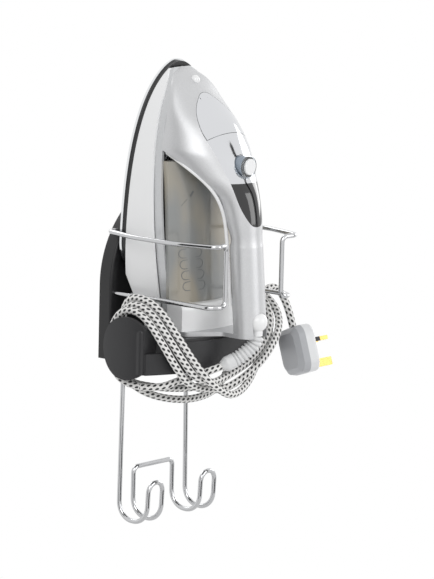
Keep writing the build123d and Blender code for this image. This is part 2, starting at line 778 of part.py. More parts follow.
with BuildPart() as rear_cover:
    add(hollowed(within(cover_space.part)))
    with BuildSketch(Plane.XY.offset(heel_z)):
        with BuildLine():
            Polyline((-46, -59), (-46, -heel_front), (-17, -112), (-17, -132), (17, -132), (17, -112),
                     (46, -heel_front), (46, -59), close=True)
        foot = make_face()
        fillet(foot.vertices().filter_by_position(Axis.Y, -113, -heel_front + 1), 8)
        with Locations((0, -grip_end[1])):
            Ellipse(grip_end[2], grip_end[3])
    extrude(amount=foot_top - heel_z)
    add(flank(band_line, back=-20), mode=Mode.SUBTRACT)
    with Locations(at(0, ball_forward, ball_z)):
        Sphere(ball_r + running_gap, mode=Mode.SUBTRACT)
        Cylinder(ball_r + 0.5, 60, align=(Align.CENTER, Align.CENTER, Align.MAX), mode=Mode.SUBTRACT)
    with Locations(at(0, cover_screw_forward, heel_z - 1)):
        Cylinder(1.7, 40, mode=Mode.SUBTRACT)
finish(rear_cover.part, "rear_cover")

with BuildPart() as rear_cover_screw:
    with Locations(at(0, cover_screw_forward, heel_z + 1)):
        Cylinder(1.65, 16, align=(Align.CENTER, Align.CENTER, Align.MIN))
finish(rear_cover_screw.part, "rear_cover_screw")

with BuildPart() as cord_ball:
    with Locations(at(0, ball_forward, ball_z)):
        Sphere(ball_r)
    with BuildSketch(Plane.XY.offset(ball_z)):
        with Locations((0, -ball_forward)):
            Circle(5.2)
    extrude(amount=-13)
    with Locations(at(0, ball_forward, ball_z)):
        Cylinder(cord_r, 40, align=(Align.CENTER, Align.CENTER, Align.MAX), mode=Mode.SUBTRACT)
finish(cord_ball.part, "cord_ball")

# The bend protector curves from below the ball to the cord, with ribs and a smooth collar.
sleeve_points = [at(0, ball_forward, ball_z - 13.3), at(-2.5, ball_forward - 2, -71),
                 at(-12, ball_forward - 10, -83), at(-26, 120, -91.5)]
with BuildLine() as sleeve_line:
    sleeve_path = Spline(*sleeve_points, tangents=[(0, 0, -1), (-0.95, 0.3, -0.25)])
with BuildPart() as bend_protector:
    with BuildSketch(Plane(origin=sleeve_path @ 0, z_dir=sleeve_path % 0)):
        Circle(sleeve_r)
    sweep(path=sleeve_path)
    for step in range(sleeve_ribs):
        place = 0.04 + step * 0.1
        with BuildSketch(Plane(origin=sleeve_path @ place, z_dir=sleeve_path % place)):
            Circle(sleeve_end_r + 0.2)
        extrude(amount=rib_thick)
    with BuildSketch(Plane(origin=sleeve_path @ 1, z_dir=sleeve_path % 1)):
        Circle(sleeve_end_r)
    extrude(amount=-12)
finish(bend_protector.part, "bend_protector")

# ---------------------------------------------------------------- iron: what is inside
with BuildPart() as pump:
    with BuildSketch(Plane.XY.offset(tank_high)):
        with Locations((0, -pump_forward)):
            RectangleRounded(18, 14, 3)
    extrude(amount=12)
    with BuildSketch(Plane.XZ.offset(85)):
        with Locations((0, tank_high + 6)):
            Circle(4.5)
    extrude(amount=9)
finish(pump.part, "pump")

with BuildPart() as spray_tube:
    with BuildLine():
        FilletPolyline(at(0, 76, tank_high + 12), at(0, 72, 130), at(0, nozzle_forward, 148),
                       at(0, nozzle_forward, nozzle_z), radius=8)
    with BuildSketch(Plane.XY.offset(tank_high + 12)):
        with Locations((0, -76)):
            Circle(tube_r)
    sweep()
    with Locations(at(0, nozzle_forward, nozzle_z)):
        Sphere(nozzle_r, mode=Mode.SUBTRACT)
finish(spray_tube.part, "spray_tube")

with BuildPart() as flap_pin:
    with Locations(at(0, flap_hinge_forward, flap_hinge_z)):
        Cylinder(flap_pin_r, 2 * hinge_half, rotation=(0, 90, 0))
finish(flap_pin.part, "flap_pin")

with BuildPart() as terminal_block:
    with BuildSketch(Plane.XY.offset(heel_z + skin)):
        with Locations((0, -50)):
            Rectangle(34, 10)
    extrude(amount=14)
    with BuildSketch(Plane.XY.offset(heel_z + skin + 14)):
        with GridLocations(11, 0, 3, 1):
            with Locations((0, -50)):
                Circle(3.2)
    extrude(amount=-5, mode=Mode.SUBTRACT)
finish(terminal_block.part, "terminal_block")

# ---------------------------------------------------------------- plug
plug_middle = (97.0, 111.4, -93.0)
plug_yaw = 24.5              # degrees that the pins point forward of +X
plug_pitch = 6.7             # and upward
plug_roll = -17.5            # turn about the pins
plug_wide = 50.0
plug_tall = 46.0
plug_base = 10.0             # thickness of the half that holds the pins
plug_cover_deep = 10.0
pin_root = 8.0               # length of each pin inside the plug
earth_long = 22.7
line_long = 17.7
sleeve_long = 9.0
earth_y = -15.5              # earth pin below the plug's middle
line_y = earth_y + 22.2      # the two line pins, 22.2 mm above it
line_x = 11.1
carrier_y = 5.0              # the fuse carrier's middle
carrier_wide = 8.6
carrier_long = 28.0
carrier_deep = 7.6
fuse_r = 3.175
fuse_long = 25.4
yaw, pitch = radians(plug_yaw), radians(plug_pitch)
upright_plug = Plane(origin=at(*plug_middle), x_dir=(sin(yaw), cos(yaw), 0),
                     z_dir=(cos(pitch) * cos(yaw), -cos(pitch) * sin(yaw), sin(pitch)))
plug_frame = Plane(upright_plug.location * Location((0, 0, 0), (0, 0, plug_roll)))
pins_axis = Axis(plug_frame.origin, plug_frame.z_dir)


def line_pin_spots(wide, tall):
    """Rectangles at the two line pins' places."""
    with BuildSketch(mode=Mode.PRIVATE) as spots:
        with Locations((-line_x, line_y), (line_x, line_y)):
            Rectangle(wide, tall)
    return spots.sketch


with BuildPart() as plug_body:
    with BuildSketch(plug_frame):
        RectangleRounded(plug_wide, plug_tall, 12)
    extrude(amount=plug_base)
    fillet(plug_body.faces().sort_by(pins_axis)[-1].edges(), 2.5)
    with BuildSketch(plug_frame.offset(plug_base)):
        with Locations((0, carrier_y)):
            Rectangle(carrier_wide, carrier_long)
    extrude(amount=-carrier_deep - running_gap, mode=Mode.SUBTRACT)
    with BuildSketch(plug_frame.offset(plug_base)):
        with Locations((0, earth_y)):
            Rectangle(4.0, 8.0)
        add(line_pin_spots(6.35, 4.0))
    extrude(amount=-pin_root, mode=Mode.SUBTRACT)
finish(plug_body.part, "plug_body")

with BuildPart() as plug_cover:
    with BuildSketch(plug_frame):
        RectangleRounded(plug_wide, plug_tall, 12)
    with BuildSketch(plug_frame.offset(-6)):
        RectangleRounded(plug_wide - 3, plug_tall - 3, 11)
    loft()
    with BuildSketch(plug_frame.offset(-6)):
        RectangleRounded(plug_wide - 3, plug_tall - 3, 11)
    with BuildSketch(plug_frame.offset(-plug_cover_deep)):
        RectangleRounded(plug_wide - 15, plug_tall - 12, 8)
    loft()
finish(plug_cover.part, "plug_cover")

with BuildPart() as earth_pin:
    with BuildSketch(plug_frame.offset(plug_base - pin_root)):
        with Locations((0, earth_y)):
            Rectangle(4.0, 8.0)
    extrude(amount=pin_root + earth_long)
    chamfer(earth_pin.faces().sort_by(pins_axis)[-1].edges(), 0.9)
finish(earth_pin.part, "earth_pin")

with BuildPart() as line_pins:
    with BuildSketch(plug_frame.offset(plug_base - pin_root)):
        add(line_pin_spots(6.35, 4.0))
    extrude(amount=pin_root + line_long)
    chamfer(line_pins.faces().group_by(pins_axis)[-1].edges(), 0.8)
    with BuildSketch(plug_frame.offset(plug_base)):
        add(line_pin_spots(7.0, 5.0))
        add(line_pin_spots(5.35, 3.0), mode=Mode.SUBTRACT)
    extrude(amount=sleeve_long, mode=Mode.SUBTRACT)
finish(line_pins.part, "line_pins")

with BuildPart() as pin_sleeves:
    with BuildSketch(plug_frame.offset(plug_base)):
        add(line_pin_spots(6.35, 4.0))
        add(line_pin_spots(5.35, 3.0), mode=Mode.SUBTRACT)
    extrude(amount=sleeve_long)
finish(pin_sleeves.part, "pin_sleeves")

fuse_level = plug_frame.offset(plug_base - carrier_deep + fuse_r)
fuse_axis = fuse_level.location * Location((0, carrier_y, 0), (90, 0, 0))
with BuildPart() as fuse:
    with Locations(fuse_axis):
        Cylinder(fuse_r, fuse_long)
finish(fuse.part, "fuse")

with BuildPart() as fuse_carrier:
    with BuildSketch(plug_frame.offset(plug_base)):
        with Locations((0, carrier_y)):
            Rectangle(carrier_wide - 2 * running_gap, carrier_long - 2 * running_gap)
    extrude(amount=-carrier_deep)
    with BuildSketch(plug_frame.offset(plug_base)):
        with Locations((0, carrier_y - carrier_long / 2 + 3)):
            Rectangle(4, 1.2)
    extrude(amount=-0.8, mode=Mode.SUBTRACT)
    with Locations(fuse_axis):
        Cylinder(fuse_r + shaft_gap, fuse_long + 2 * shaft_gap, mode=Mode.SUBTRACT)
    with BuildSketch(plug_frame.offset(plug_base - carrier_deep)):
        with Locations((0, carrier_y)):
            Rectangle(2 * (fuse_r + shaft_gap), fuse_long + 2 * shaft_gap)
    extrude(amount=fuse_r, mode=Mode.SUBTRACT)
finish(fuse_carrier.part, "fuse_carrier")

# ---------------------------------------------------------------- cord
# Points of the cord's route: to the right, forward from the wall, and up.
lead_route = [(-26.5, 119.8, -91.6), (-43, 114.6, -96), (-58, 96, -104), (-76, 86, -111), (-83, 70, -110)]
near_lanes = [      # up behind the near ear and over its neck, one row of points for each pass
    [(-90, 54, -109), (-89, 38, -91), (-88.5, 36, -62), (-88, 47, -41.5), (-87, 64, -38)],
    [(-80, 49, -109), (-80, 38, -92), (-79.5, 38, -61), (-80, 47, -37), (-80.5, 65, -34)],
    [(-69, 42, -112), (-71, 35, -89), (-72, 35, -54), (-74.5, 45, -30), (-75, 66, -28.5)]]
front_lanes = [     # down in front of the apron and up again to the far ear
    [(-85.5, 80, -46.5), (-82, 93.5, -65), (-75, 104, -86), (-59, 107.5, -107), (-36, 109.5, -114),
     (-14, 114.5, -115.5), (5, 118.5, -108), (21, 121, -99), (35.5, 119.8, -92), (51.5, 117, -81.5),
     (68, 111, -70), (81.5, 100, -57.5), (86.5, 84, -45)],
    [(-79.5, 82, -42.5), (-75, 95.5, -61), (-68.5, 108, -82), (-57, 114.5, -99.5), (-38, 117, -107),
     (-15, 114, -105), (8, 113.5, -99), (29, 112.3, -92), (46.5, 109, -83), (60.5, 105, -73),
     (71.5, 98, -60), (78, 85, -44.5)],
    [(-73.5, 84.5, -37.5), (-69, 99, -57), (-62, 111.5, -78.5), (-51, 123, -100), (-34, 126, -113),
     (-17, 125.5, -120), (3, 122, -117), (20, 117, -109.5), (34, 110.5, -101.5), (50, 106.5, -91.5),
     (63.5, 103.5, -82.5), (73, 97, -74)]]
far_lanes = [       # over the far ear's neck and down behind it
    [(86, 67, -38.5), (86, 47, -41), (88, 37, -64), (89, 40, -92), (86, 52, -109)],
    [(78, 67, -38.5), (78, 46, -41), (80, 36, -64), (80, 37, -92), (77, 43, -113)]]
back_lanes = [      # under the tray, back to the near ear
    [(62, 60, -116), (27, 70, -121), (-14, 72, -121), (-50, 63, -117)],
    [(58, 53, -124), (24, 66, -132), (-16, 68, -133), (-50, 56, -126)]]
tail_route = [(71.5, 88.5, -65), (65, 86.5, -54.5), (66, 88, -42), (76, 88, -33.5), (89, 88, -33),
              (98.5, 90.5, -42.5)]


def above_plug(distance):
    """A point on the line that the cord leaves the plug along."""
    spot = plug_frame.from_local_coords((0, plug_tall / 2 + distance, 0))
    return (spot.X, -spot.Y, spot.Z)


wound_route = [lead_route[-1]]
for turn in range(3):
    wound_route += near_lanes[turn] + front_lanes[turn]
    if turn < 2:
        wound_route += far_lanes[turn] + back_lanes[turn]
wound_route += tail_route + [above_plug(13), above_plug(0)]


def cord_tube(route, name):
    """Tube of straight runs and tangent arcs, each arc as large as its two runs allow."""
    points = [Vector(*at(*p)) for p in route]
    radii = []
    for before, corner, after in zip(points, points[1:], points[2:]):
        turn = radians((corner - before).get_angle(after - corner))
        run = min((corner - before).length, (after - corner).length)
        radii.append(0.45 * run / tan(turn / 2))
    with BuildPart() as tube:
        with BuildLine() as path:
            FilletPolyline(*points, radius=radii)
        with BuildSketch(Plane(origin=points[0], z_dir=points[1] - points[0])):
            Circle(cord_r)
        sweep()
    length = path.wire().length
    print(name, "length", round(length, 1), "volume ratio",
          round(tube.part.volume / (pi * cord_r ** 2 * length), 4), "radii", [round(r) for r in radii])
    finish(tube.part, name)
    return tube.part


cord_tube(lead_route, "cord_lead")
cord_tube(wound_route, "cord_wound")
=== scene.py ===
"""Looks of a wall store for a steam iron: finishes, braided cord, small trim, studio and camera.

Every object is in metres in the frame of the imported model: the wall is Y = 0, the front faces -Y
and +Z is up. Distances "forward" are measured from the wall towards the room.
"""
import logging
import math
from dataclasses import dataclass, field
from enum import Enum
from typing import Callable, Iterable, Sequence

import bmesh
import bpy
from mathutils import Matrix, Vector

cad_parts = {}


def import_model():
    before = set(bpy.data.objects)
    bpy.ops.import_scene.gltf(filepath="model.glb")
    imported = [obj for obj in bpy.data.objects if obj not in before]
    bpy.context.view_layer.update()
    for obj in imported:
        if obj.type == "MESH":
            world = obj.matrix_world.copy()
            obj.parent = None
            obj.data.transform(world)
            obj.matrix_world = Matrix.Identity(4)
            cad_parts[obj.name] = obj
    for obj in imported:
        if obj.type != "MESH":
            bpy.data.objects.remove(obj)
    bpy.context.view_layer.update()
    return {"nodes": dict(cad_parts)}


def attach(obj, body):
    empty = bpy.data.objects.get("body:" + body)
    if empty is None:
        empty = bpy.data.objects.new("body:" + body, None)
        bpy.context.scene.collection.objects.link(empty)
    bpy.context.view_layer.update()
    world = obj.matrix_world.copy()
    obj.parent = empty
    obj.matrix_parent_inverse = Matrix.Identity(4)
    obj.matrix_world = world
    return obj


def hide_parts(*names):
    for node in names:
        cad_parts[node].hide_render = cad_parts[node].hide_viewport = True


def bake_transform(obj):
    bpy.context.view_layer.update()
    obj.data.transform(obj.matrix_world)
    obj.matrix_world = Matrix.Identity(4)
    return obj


log = logging.getLogger("iron_store")
Colour = tuple[float, float, float]
Point = tuple[float, float, float]
MM = 0.001
GRAIN_DEPTH = 0.0002        # metres from the lows to the highs of a moulded grain
OBJECT_MIDDLE = Vector((0.0, -0.07, 0.0))       # what the lamps and cards are turned to


def at(x: float, forward: float, up: float) -> Vector:
    """A place in metres from millimetres right, forward from the wall, and up."""
    return Vector((x, -forward, up)) * MM


# ---------------------------------------------------------------- shader node groups
class Group(Enum):
    """The shader node groups that several finishes share."""

    GRAIN = "moulding_grain"
    SMUDGE = "soft_variation"
    BRAID = "cord_braid"
    FLAKE = "metallic_flake"


def new_group(name: str, inputs: Sequence[tuple[str, str, object]],
              outputs: Sequence[tuple[str, str]]) -> tuple[bpy.types.NodeTree, dict]:
    """An empty shader group with its sockets.

    Args:
        name: Name of the group.
        inputs: Socket name, socket kind and default of each input.
        outputs: Socket name and socket kind of each output.

    Returns:
        The group and its input and output nodes under "in" and "out".
    """
    tree = bpy.data.node_groups.new(name, "ShaderNodeTree")
    for label, kind, default in inputs:
        socket = tree.interface.new_socket(label, in_out="INPUT", socket_type=f"NodeSocket{kind}")
        if default is not None:
            socket.default_value = default
    for label, kind in outputs:
        tree.interface.new_socket(label, in_out="OUTPUT", socket_type=f"NodeSocket{kind}")
    ends = {"in": tree.nodes.new("NodeGroupInput"), "out": tree.nodes.new("NodeGroupOutput")}
    return tree, ends


@dataclass
class Wiring:
    """Short ways to add and join nodes in one tree."""

    tree: bpy.types.NodeTree

    def node(self, kind: str, **settings: object) -> bpy.types.Node:
        """A new shader node with its settings."""
        made = self.tree.nodes.new(f"ShaderNode{kind}")
        for key, value in settings.items():
            setattr(made, key, value)
        return made

    def join(self, source: object, target: object) -> None:
        """Link an output socket to an input socket, or set the input to a plain value."""
        if isinstance(source, bpy.types.NodeSocket):
            self.tree.links.new(source, target)
        else:
            target.default_value = source

    def math(self, operation: str, a: object, b: object = 0.0,
             clamp: bool = False) -> bpy.types.NodeSocket:
        """A Math node.

        Args:
            operation: Blender's name of the operation.
            a: First socket or number.
            b: Second socket or number.
            clamp: Whether the result is kept from 0 to 1.

        Returns:
            Its result.
        """
        made = self.node("Math", operation=operation, use_clamp=clamp)
        for socket, value in zip(made.inputs, (a, b)):
            self.join(value, socket)
        return made.outputs[0]

    def noise(self, vector: object, scale: object, detail: float = 2.0,
              roughness: float = 0.5) -> bpy.types.NodeSocket:
        """The value of a noise texture at a vector."""
        made = self.node("TexNoise")
        self.join(vector, made.inputs["Vector"])
        self.join(scale, made.inputs["Scale"])
        made.inputs["Detail"].default_value = detail
        made.inputs["Roughness"].default_value = roughness
        return made.outputs[0]

    def mix(self, share: object, a: object, b: object) -> bpy.types.NodeSocket:
        """A colour between two colours."""
        made = self.node("Mix", data_type="RGBA")
        self.join(share, made.inputs[0])
        for value, socket in ((a, made.inputs[6]), (b, made.inputs[7])):
            self.join(value if isinstance(value, bpy.types.NodeSocket) else (*value, 1.0), socket)
        return made.outputs[2]

    def ramp(self, value: object, low: float, high: float) -> bpy.types.NodeSocket:
        """A value spread from 0 at low to 1 at high, with soft ends."""
        made = self.node("MapRange", interpolation_type="SMOOTHSTEP")
        self.join(value, made.inputs["Value"])
        made.inputs["From Min"].default_value = low
        made.inputs["From Max"].default_value = high
        return made.outputs[0]


def build_grain() -> None:
    """Fine moulded texture: a height and a slight change of roughness."""
    tree, ends = new_group(Group.GRAIN.value,
                           [("Vector", "Vector", None), ("Size", "Float", 1500.0),
                            ("Roughness", "Float", 0.4), ("Spread", "Float", 0.06)],
                           [("Height", "Float"), ("Roughness", "Float")])
    w, given = Wiring(tree), ends["in"].outputs
    broad_size = 60.0
    fine = w.noise(given["Vector"], given["Size"], detail=3.0)
    broad = w.noise(given["Vector"], broad_size, detail=2.0)
    shift = w.math("MULTIPLY", w.math("SUBTRACT", broad, 0.5), given["Spread"])
    w.join(fine, ends["out"].inputs["Height"])
    w.join(w.math("ADD", given["Roughness"], shift, clamp=True), ends["out"].inputs["Roughness"])


def build_smudge() -> None:
    """A colour that drifts a little over the surface."""
    tree, ends = new_group(Group.SMUDGE.value,
                           [("Vector", "Vector", None), ("Colour", "Color", (1, 1, 1, 1)),
                            ("Scale", "Float", 18.0), ("Amount", "Float", 0.05)],
                           [("Colour", "Color")])
    w, given = Wiring(tree), ends["in"].outputs
    drift = w.math("SUBTRACT", w.noise(given["Vector"], given["Scale"], detail=2.5), 0.5)
    gain = w.math("ADD", 1.0, w.math("MULTIPLY", drift, w.math("MULTIPLY", given["Amount"], 2.0)))
    scaled = w.node("VectorMath", operation="SCALE")
    w.join(given["Colour"], scaled.inputs[0])
    w.join(gain, scaled.inputs["Scale"])
    w.join(scaled.outputs[0], ends["out"].inputs["Colour"])


def build_flake() -> None:
    """Tiny bright and dark flakes of a silver metallic plastic."""
    tree, ends = new_group(Group.FLAKE.value,
                           [("Vector", "Vector", None), ("Colour", "Color", (1, 1, 1, 1)),
                            ("Amount", "Float", 0.06)],
                           [("Colour", "Color")])
    w, given = Wiring(tree), ends["in"].outputs
    flakes_per_metre = 2400.0
    cells = w.node("TexVoronoi", feature="F1")
    w.join(given["Vector"], cells.inputs["Vector"])
    cells.inputs["Scale"].default_value = flakes_per_metre
    spread = w.node("SeparateColor")
    w.join(cells.outputs["Color"], spread.inputs[0])
    gain = w.math("ADD", 1.0, w.math("MULTIPLY", w.math("SUBTRACT", spread.outputs[0], 0.5),
                                     w.math("MULTIPLY", given["Amount"], 2.0)))
    scaled = w.node("VectorMath", operation="SCALE")
    w.join(given["Colour"], scaled.inputs[0])
    w.join(gain, scaled.inputs["Scale"])
    w.join(scaled.outputs[0], ends["out"].inputs["Colour"])


def build_braid() -> None:
    """Off-white braid with dark flecks in staggered rows, darkened with painted shade in the low grooves
    between the strands. U is metres along, V is one turn.
    """
    tree, ends = new_group(Group.BRAID.value,
                           [("Vector", "Vector", None), ("Pale", "Color", (0.8, 0.8, 0.78, 1)),
                            ("Dark", "Color", (0.02, 0.02, 0.022, 1)), ("Pitch", "Float", 0.0056),
                            ("Rows", "Float", 6.0), ("Strands", "Float", 16.0)],
                           [("Colour", "Color"), ("Height", "Float")])
    w, given = Wiring(tree), ends["in"].outputs
    row_lean, fleck_skew = 0.16, 0.2
    fleck_long, fleck_wide = 0.29, 0.36         # shares of a pitch and of a row
    fray_scale, fray_amount = 900.0, 0.5
    # the last number is how far painted shade darkens the low grooves between the strands
    strand_waves, brightness, painted_groove_shade = 6.0, 0.92, 0.08
    parts = w.node("SeparateXYZ")
    w.join(given["Vector"], parts.inputs[0])
    along = w.math("DIVIDE", parts.outputs[0], given["Pitch"])
    around = w.math("MULTIPLY", parts.outputs[1], given["Rows"])
    row = w.math("FLOOR", around)
    half_step = w.math("MULTIPLY", w.math("MODULO", row, 2.0), 0.5)
    lean = w.math("MULTIPLY", around, row_lean)
    shifted = w.math("ADD", w.math("ADD", along, half_step), lean)
    cell_x = w.math("SUBTRACT", w.math("FRACT", shifted), 0.5)
    cell_y = w.math("SUBTRACT", w.math("FRACT", around), 0.5)
    skew = w.math("ADD", cell_x, w.math("MULTIPLY", cell_y, fleck_skew))
    reach = w.math("ADD", w.math("POWER", w.math("DIVIDE", skew, fleck_long), 2.0),
                   w.math("POWER", w.math("DIVIDE", cell_y, fleck_wide), 2.0))
    fray = w.math("MULTIPLY", w.math("SUBTRACT", w.noise(given["Vector"], fray_scale), 0.5), fray_amount)
    fleck = w.math("SUBTRACT", 1.0, w.ramp(w.math("ADD", reach, fray), 0.75, 1.15))
    turn = w.math("MULTIPLY", w.math("MULTIPLY", parts.outputs[1], given["Strands"]), math.pi)
    step = w.math("MULTIPLY", along, strand_waves * math.pi)
    left = w.math("SINE", w.math("ADD", step, turn))
    right = w.math("SINE", w.math("SUBTRACT", step, turn))
    weave = w.math("MAXIMUM", left, right)
    # painted shade: the pale colour is made darker where the weave's height is low, in the grooves between
    # strands
    shade = w.ramp(weave, -0.6, 0.7)
    dim = w.node("VectorMath", operation="SCALE")
    w.join(given["Pale"], dim.inputs[0])
    w.join(w.math("ADD", brightness, w.math("MULTIPLY", shade, painted_groove_shade)), dim.inputs["Scale"])
    w.join(w.mix(fleck, dim.outputs[0], given["Dark"]), ends["out"].inputs["Colour"])
    w.join(weave, ends["out"].inputs["Height"])


def build_groups() -> None:
    """Make every shared node group once."""
    for build in (build_grain, build_smudge, build_flake, build_braid):
        build()


# ---------------------------------------------------------------- finishes
def new_material(name: str) -> tuple[bpy.types.Material, bpy.types.Node]:
    """A new material with nodes, and its surface shader."""
    material = bpy.data.materials.new(name)
    material.use_nodes = True
    return material, material.node_tree.nodes["Principled BSDF"]


@dataclass(frozen=True)
class Finish:
    """A surface finish: plain numbers for the shader, and the detail that goes over them."""

    name: str
    colour: Colour
    roughness: float = 0.4
    metallic: float = 0.0
    coat: float = 0.0
    coat_roughness: float = 0.08
    grain: float = 0.0
    grain_size: float = 1500.0
    drift: float = 0.04
    drift_scale: float = 18.0
    spread: float = 0.06
    transmission: float = 0.0
    ior: float = 1.5
    flake: float = 0.0

    def material(self) -> bpy.types.Material:
        """The material of this finish, made at the first call."""
        found = bpy.data.materials.get(f"finish_{self.name}")
        return found if found else self.make()

    def make(self) -> bpy.types.Material:
        """Build the material from the shared groups.

        Returns:
            The new material.
        """
        material, shader = new_material(f"finish_{self.name}")
        w = Wiring(material.node_tree)
        for label, value in (("Metallic", self.metallic), ("Coat Weight", self.coat),
                             ("Coat Roughness", self.coat_roughness), ("IOR", self.ior),
                             ("Transmission Weight", self.transmission)):
            shader.inputs[label].default_value = value
        place = w.node("TexCoord").outputs["Object"]
        w.join(self.coloured(w, place), shader.inputs["Base Color"])
        grain = w.node("Group", node_tree=bpy.data.node_groups[Group.GRAIN.value])
        w.join(place, grain.inputs["Vector"])
        for label, value in (("Size", self.grain_size), ("Roughness", self.roughness),
                             ("Spread", self.spread)):
            grain.inputs[label].default_value = value
        w.join(grain.outputs["Roughness"], shader.inputs["Roughness"])
        if self.grain > 0.0:
            bump = w.node("Bump")
            bump.inputs["Strength"].default_value = self.grain
            bump.inputs["Distance"].default_value = GRAIN_DEPTH
            w.join(grain.outputs["Height"], bump.inputs["Height"])
            w.join(bump.outputs[0], shader.inputs["Normal"])
        return material

    def coloured(self, w: Wiring, place: bpy.types.NodeSocket) -> bpy.types.NodeSocket:
        """The finish's colour over the surface, as a socket."""
        drift = w.node("Group", node_tree=bpy.data.node_groups[Group.SMUDGE.value])
        w.join(place, drift.inputs["Vector"])
        drift.inputs["Colour"].default_value = (*self.colour, 1.0)
        drift.inputs["Scale"].default_value = self.drift_scale
        drift.inputs["Amount"].default_value = self.drift
        if self.flake <= 0.0:
            return drift.outputs["Colour"]
        flake = w.node("Group", node_tree=bpy.data.node_groups[Group.FLAKE.value])
        w.join(place, flake.inputs["Vector"])
        w.join(drift.outputs["Colour"], flake.inputs["Colour"])
        flake.inputs["Amount"].default_value = self.flake
        return flake.outputs["Colour"]


@dataclass(frozen=True)
class BraidFinish(Finish):
    """The cord's braided cover, which follows the cord's own UV map."""

    sheen: float = 0.25
    relief: float = 0.3
    relief_depth: float = 0.0004

    def make(self) -> bpy.types.Material:
        """Build the braid from its group and the piece's UV map."""
        material, shader = new_material(f"finish_{self.name}")
        w = Wiring(material.node_tree)
        shader.inputs["Roughness"].default_value = self.roughness
        shader.inputs["Sheen Weight"].default_value = self.sheen
        braid = w.node("Group", node_tree=bpy.data.node_groups[Group.BRAID.value])
        braid.inputs["Pale"].default_value = (*self.colour, 1.0)
        w.join(w.node("UVMap", uv_map="UVMap").outputs[0], braid.inputs["Vector"])
        w.join(braid.outputs["Colour"], shader.inputs["Base Color"])
        bump = w.node("Bump")
        bump.inputs["Strength"].default_value = self.relief
        bump.inputs["Distance"].default_value = self.relief_depth
        w.join(braid.outputs["Height"], bump.inputs["Height"])
        w.join(bump.outputs[0], shader.inputs["Normal"])
        return material


@dataclass(frozen=True)
class TankFinish(Finish):
    """Smoked clear plastic over a dim inside, with broad warm clouds spread by noise."""

    cloud: Colour = (0.50, 0.46, 0.38)
    cloud_scale: float = 34.0
    upright_stretch: float = 0.45
    cloud_from: float = 0.38
    cloud_full: float = 0.66

    def coloured(self, w: Wiring, place: bpy.types.NodeSocket) -> bpy.types.NodeSocket:
        """Grey plastic with broad warm clouds where the inside shows through."""
        stretch = w.node("Mapping", vector_type="POINT")
        w.join(place, stretch.inputs["Vector"])
        stretch.inputs["Scale"].default_value = (1.0, 1.0, self.upright_stretch)
        blot = w.noise(stretch.outputs[0], self.cloud_scale, detail=1.5)
        return w.mix(w.ramp(blot, self.cloud_from, self.cloud_full), self.colour, self.cloud)


BLACK_PLATE = Finish("black_plate", (0.010, 0.010, 0.011), 0.45, grain=0.25)
TRAY_BLACK = Finish("tray_charcoal", (0.022, 0.022, 0.024), 0.40, grain=0.35, grain_size=2200.0, drift=0.08)
CHROME = Finish("chrome_wire", (0.56, 0.565, 0.575), 0.11, metallic=1.0, drift=0.02, spread=0.03)
STEEL = Finish("plated_steel", (0.55, 0.56, 0.58), 0.28, metallic=1.0, grain=0.2)
SOLE = Finish("polished_sole", (0.78, 0.79, 0.80), 0.16, metallic=1.0, grain=0.1, spread=0.08)
CAST = Finish("cast_aluminium", (0.45, 0.46, 0.48), 0.5, metallic=1.0, grain=0.8, grain_size=700.0)
HEAT_BLACK = Finish("heat_proof_black", (0.012, 0.012, 0.013), 0.35, grain=0.3)
WHITE = Finish("white_gloss", (0.90, 0.905, 0.91), 0.25, coat=0.3, drift=0.012)
SILVER = Finish("silver_metallic", (0.60, 0.605, 0.615), 0.42, metallic=0.6, coat=0.15, coat_roughness=0.2,
                flake=0.05, drift=0.015)
BAND = Finish("silver_band", (0.60, 0.61, 0.62), 0.34, metallic=0.35, coat=0.3, flake=0.05, drift=0.02)
MIRROR = Finish("bright_trim", (0.70, 0.71, 0.73), 0.09, metallic=1.0, drift=0.02, spread=0.02)
BLACK_GLOSS = Finish("black_gloss", (0.008, 0.008, 0.009), 0.08, coat=0.6, drift=0.05)
TANK = TankFinish("smoked_tank", (0.36, 0.37, 0.365), 0.12, coat=0.6, transmission=0.25)
BARREL = Finish("blue_grey_barrel", (0.30, 0.35, 0.41), 0.3, metallic=0.2, grain=0.2)
CLEAR = Finish("clear_ring", (0.93, 0.96, 0.98), 0.04, transmission=0.92, ior=1.46, drift=0.01)
SLEEVE = Finish("soft_white", (0.74, 0.745, 0.75), 0.42, grain=0.15, drift=0.03)
PLUG_WHITE = Finish("plug_white", (0.74, 0.75, 0.76), 0.3, coat=0.2, drift=0.02)
PLUG_GREY = Finish("plug_grey", (0.44, 0.45, 0.47), 0.42, grain=0.25, drift=0.04)
BRASS = Finish("pin_brass", (0.82, 0.56, 0.18), 0.24, metallic=1.0, grain=0.3, drift=0.1, drift_scale=60.0)
PIN_BLACK = Finish("pin_sleeve_black", (0.02, 0.02, 0.024), 0.4)
CERAMIC = Finish("fuse_ceramic", (0.78, 0.75, 0.68), 0.3, drift=0.05)
INK = Finish("printed_grey", (0.17, 0.175, 0.18), 0.45)
BRAID = BraidFinish("cord_braid", (0.86, 0.855, 0.84), 0.8)


# ---------------------------------------------------------------- mesh tools
def smooth(mesh: bpy.types.Mesh, angle: float = 0.6) -> None:
    """Shade a mesh smooth with creases above an angle in radians."""
    mesh.shade_smooth()
    mesh.set_sharp_from_angle(angle=angle)


def piece(name: str, form: bmesh.types.BMesh, finish: Finish, body: str,
          replaces: Sequence[str] = (), angle: float = 0.6) -> bpy.types.Object:
    """Turn a bmesh into a dressed piece that rides on a body.

    Args:
        name: Name of the piece.
        form: Its shape, which is freed.
        finish: Its finish.
        body: CAD body it moves with, or empty for a piece that rides on none.
        replaces: CAD nodes that it stands for.
        angle: Crease angle in radians.

    Returns:
        The new object.
    """
    mesh = bpy.data.meshes.new(name)
    form.to_mesh(mesh)
    form.free()
    smooth(mesh, angle)
    made = bpy.data.objects.new(name, mesh)
    bpy.context.scene.collection.objects.link(made)
    mesh.materials.append(finish.material())
    if body:
        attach(made, body)
    if replaces:
        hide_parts(*replaces)
    log.info("piece %s: %d faces", name, len(mesh.polygons))
    return made


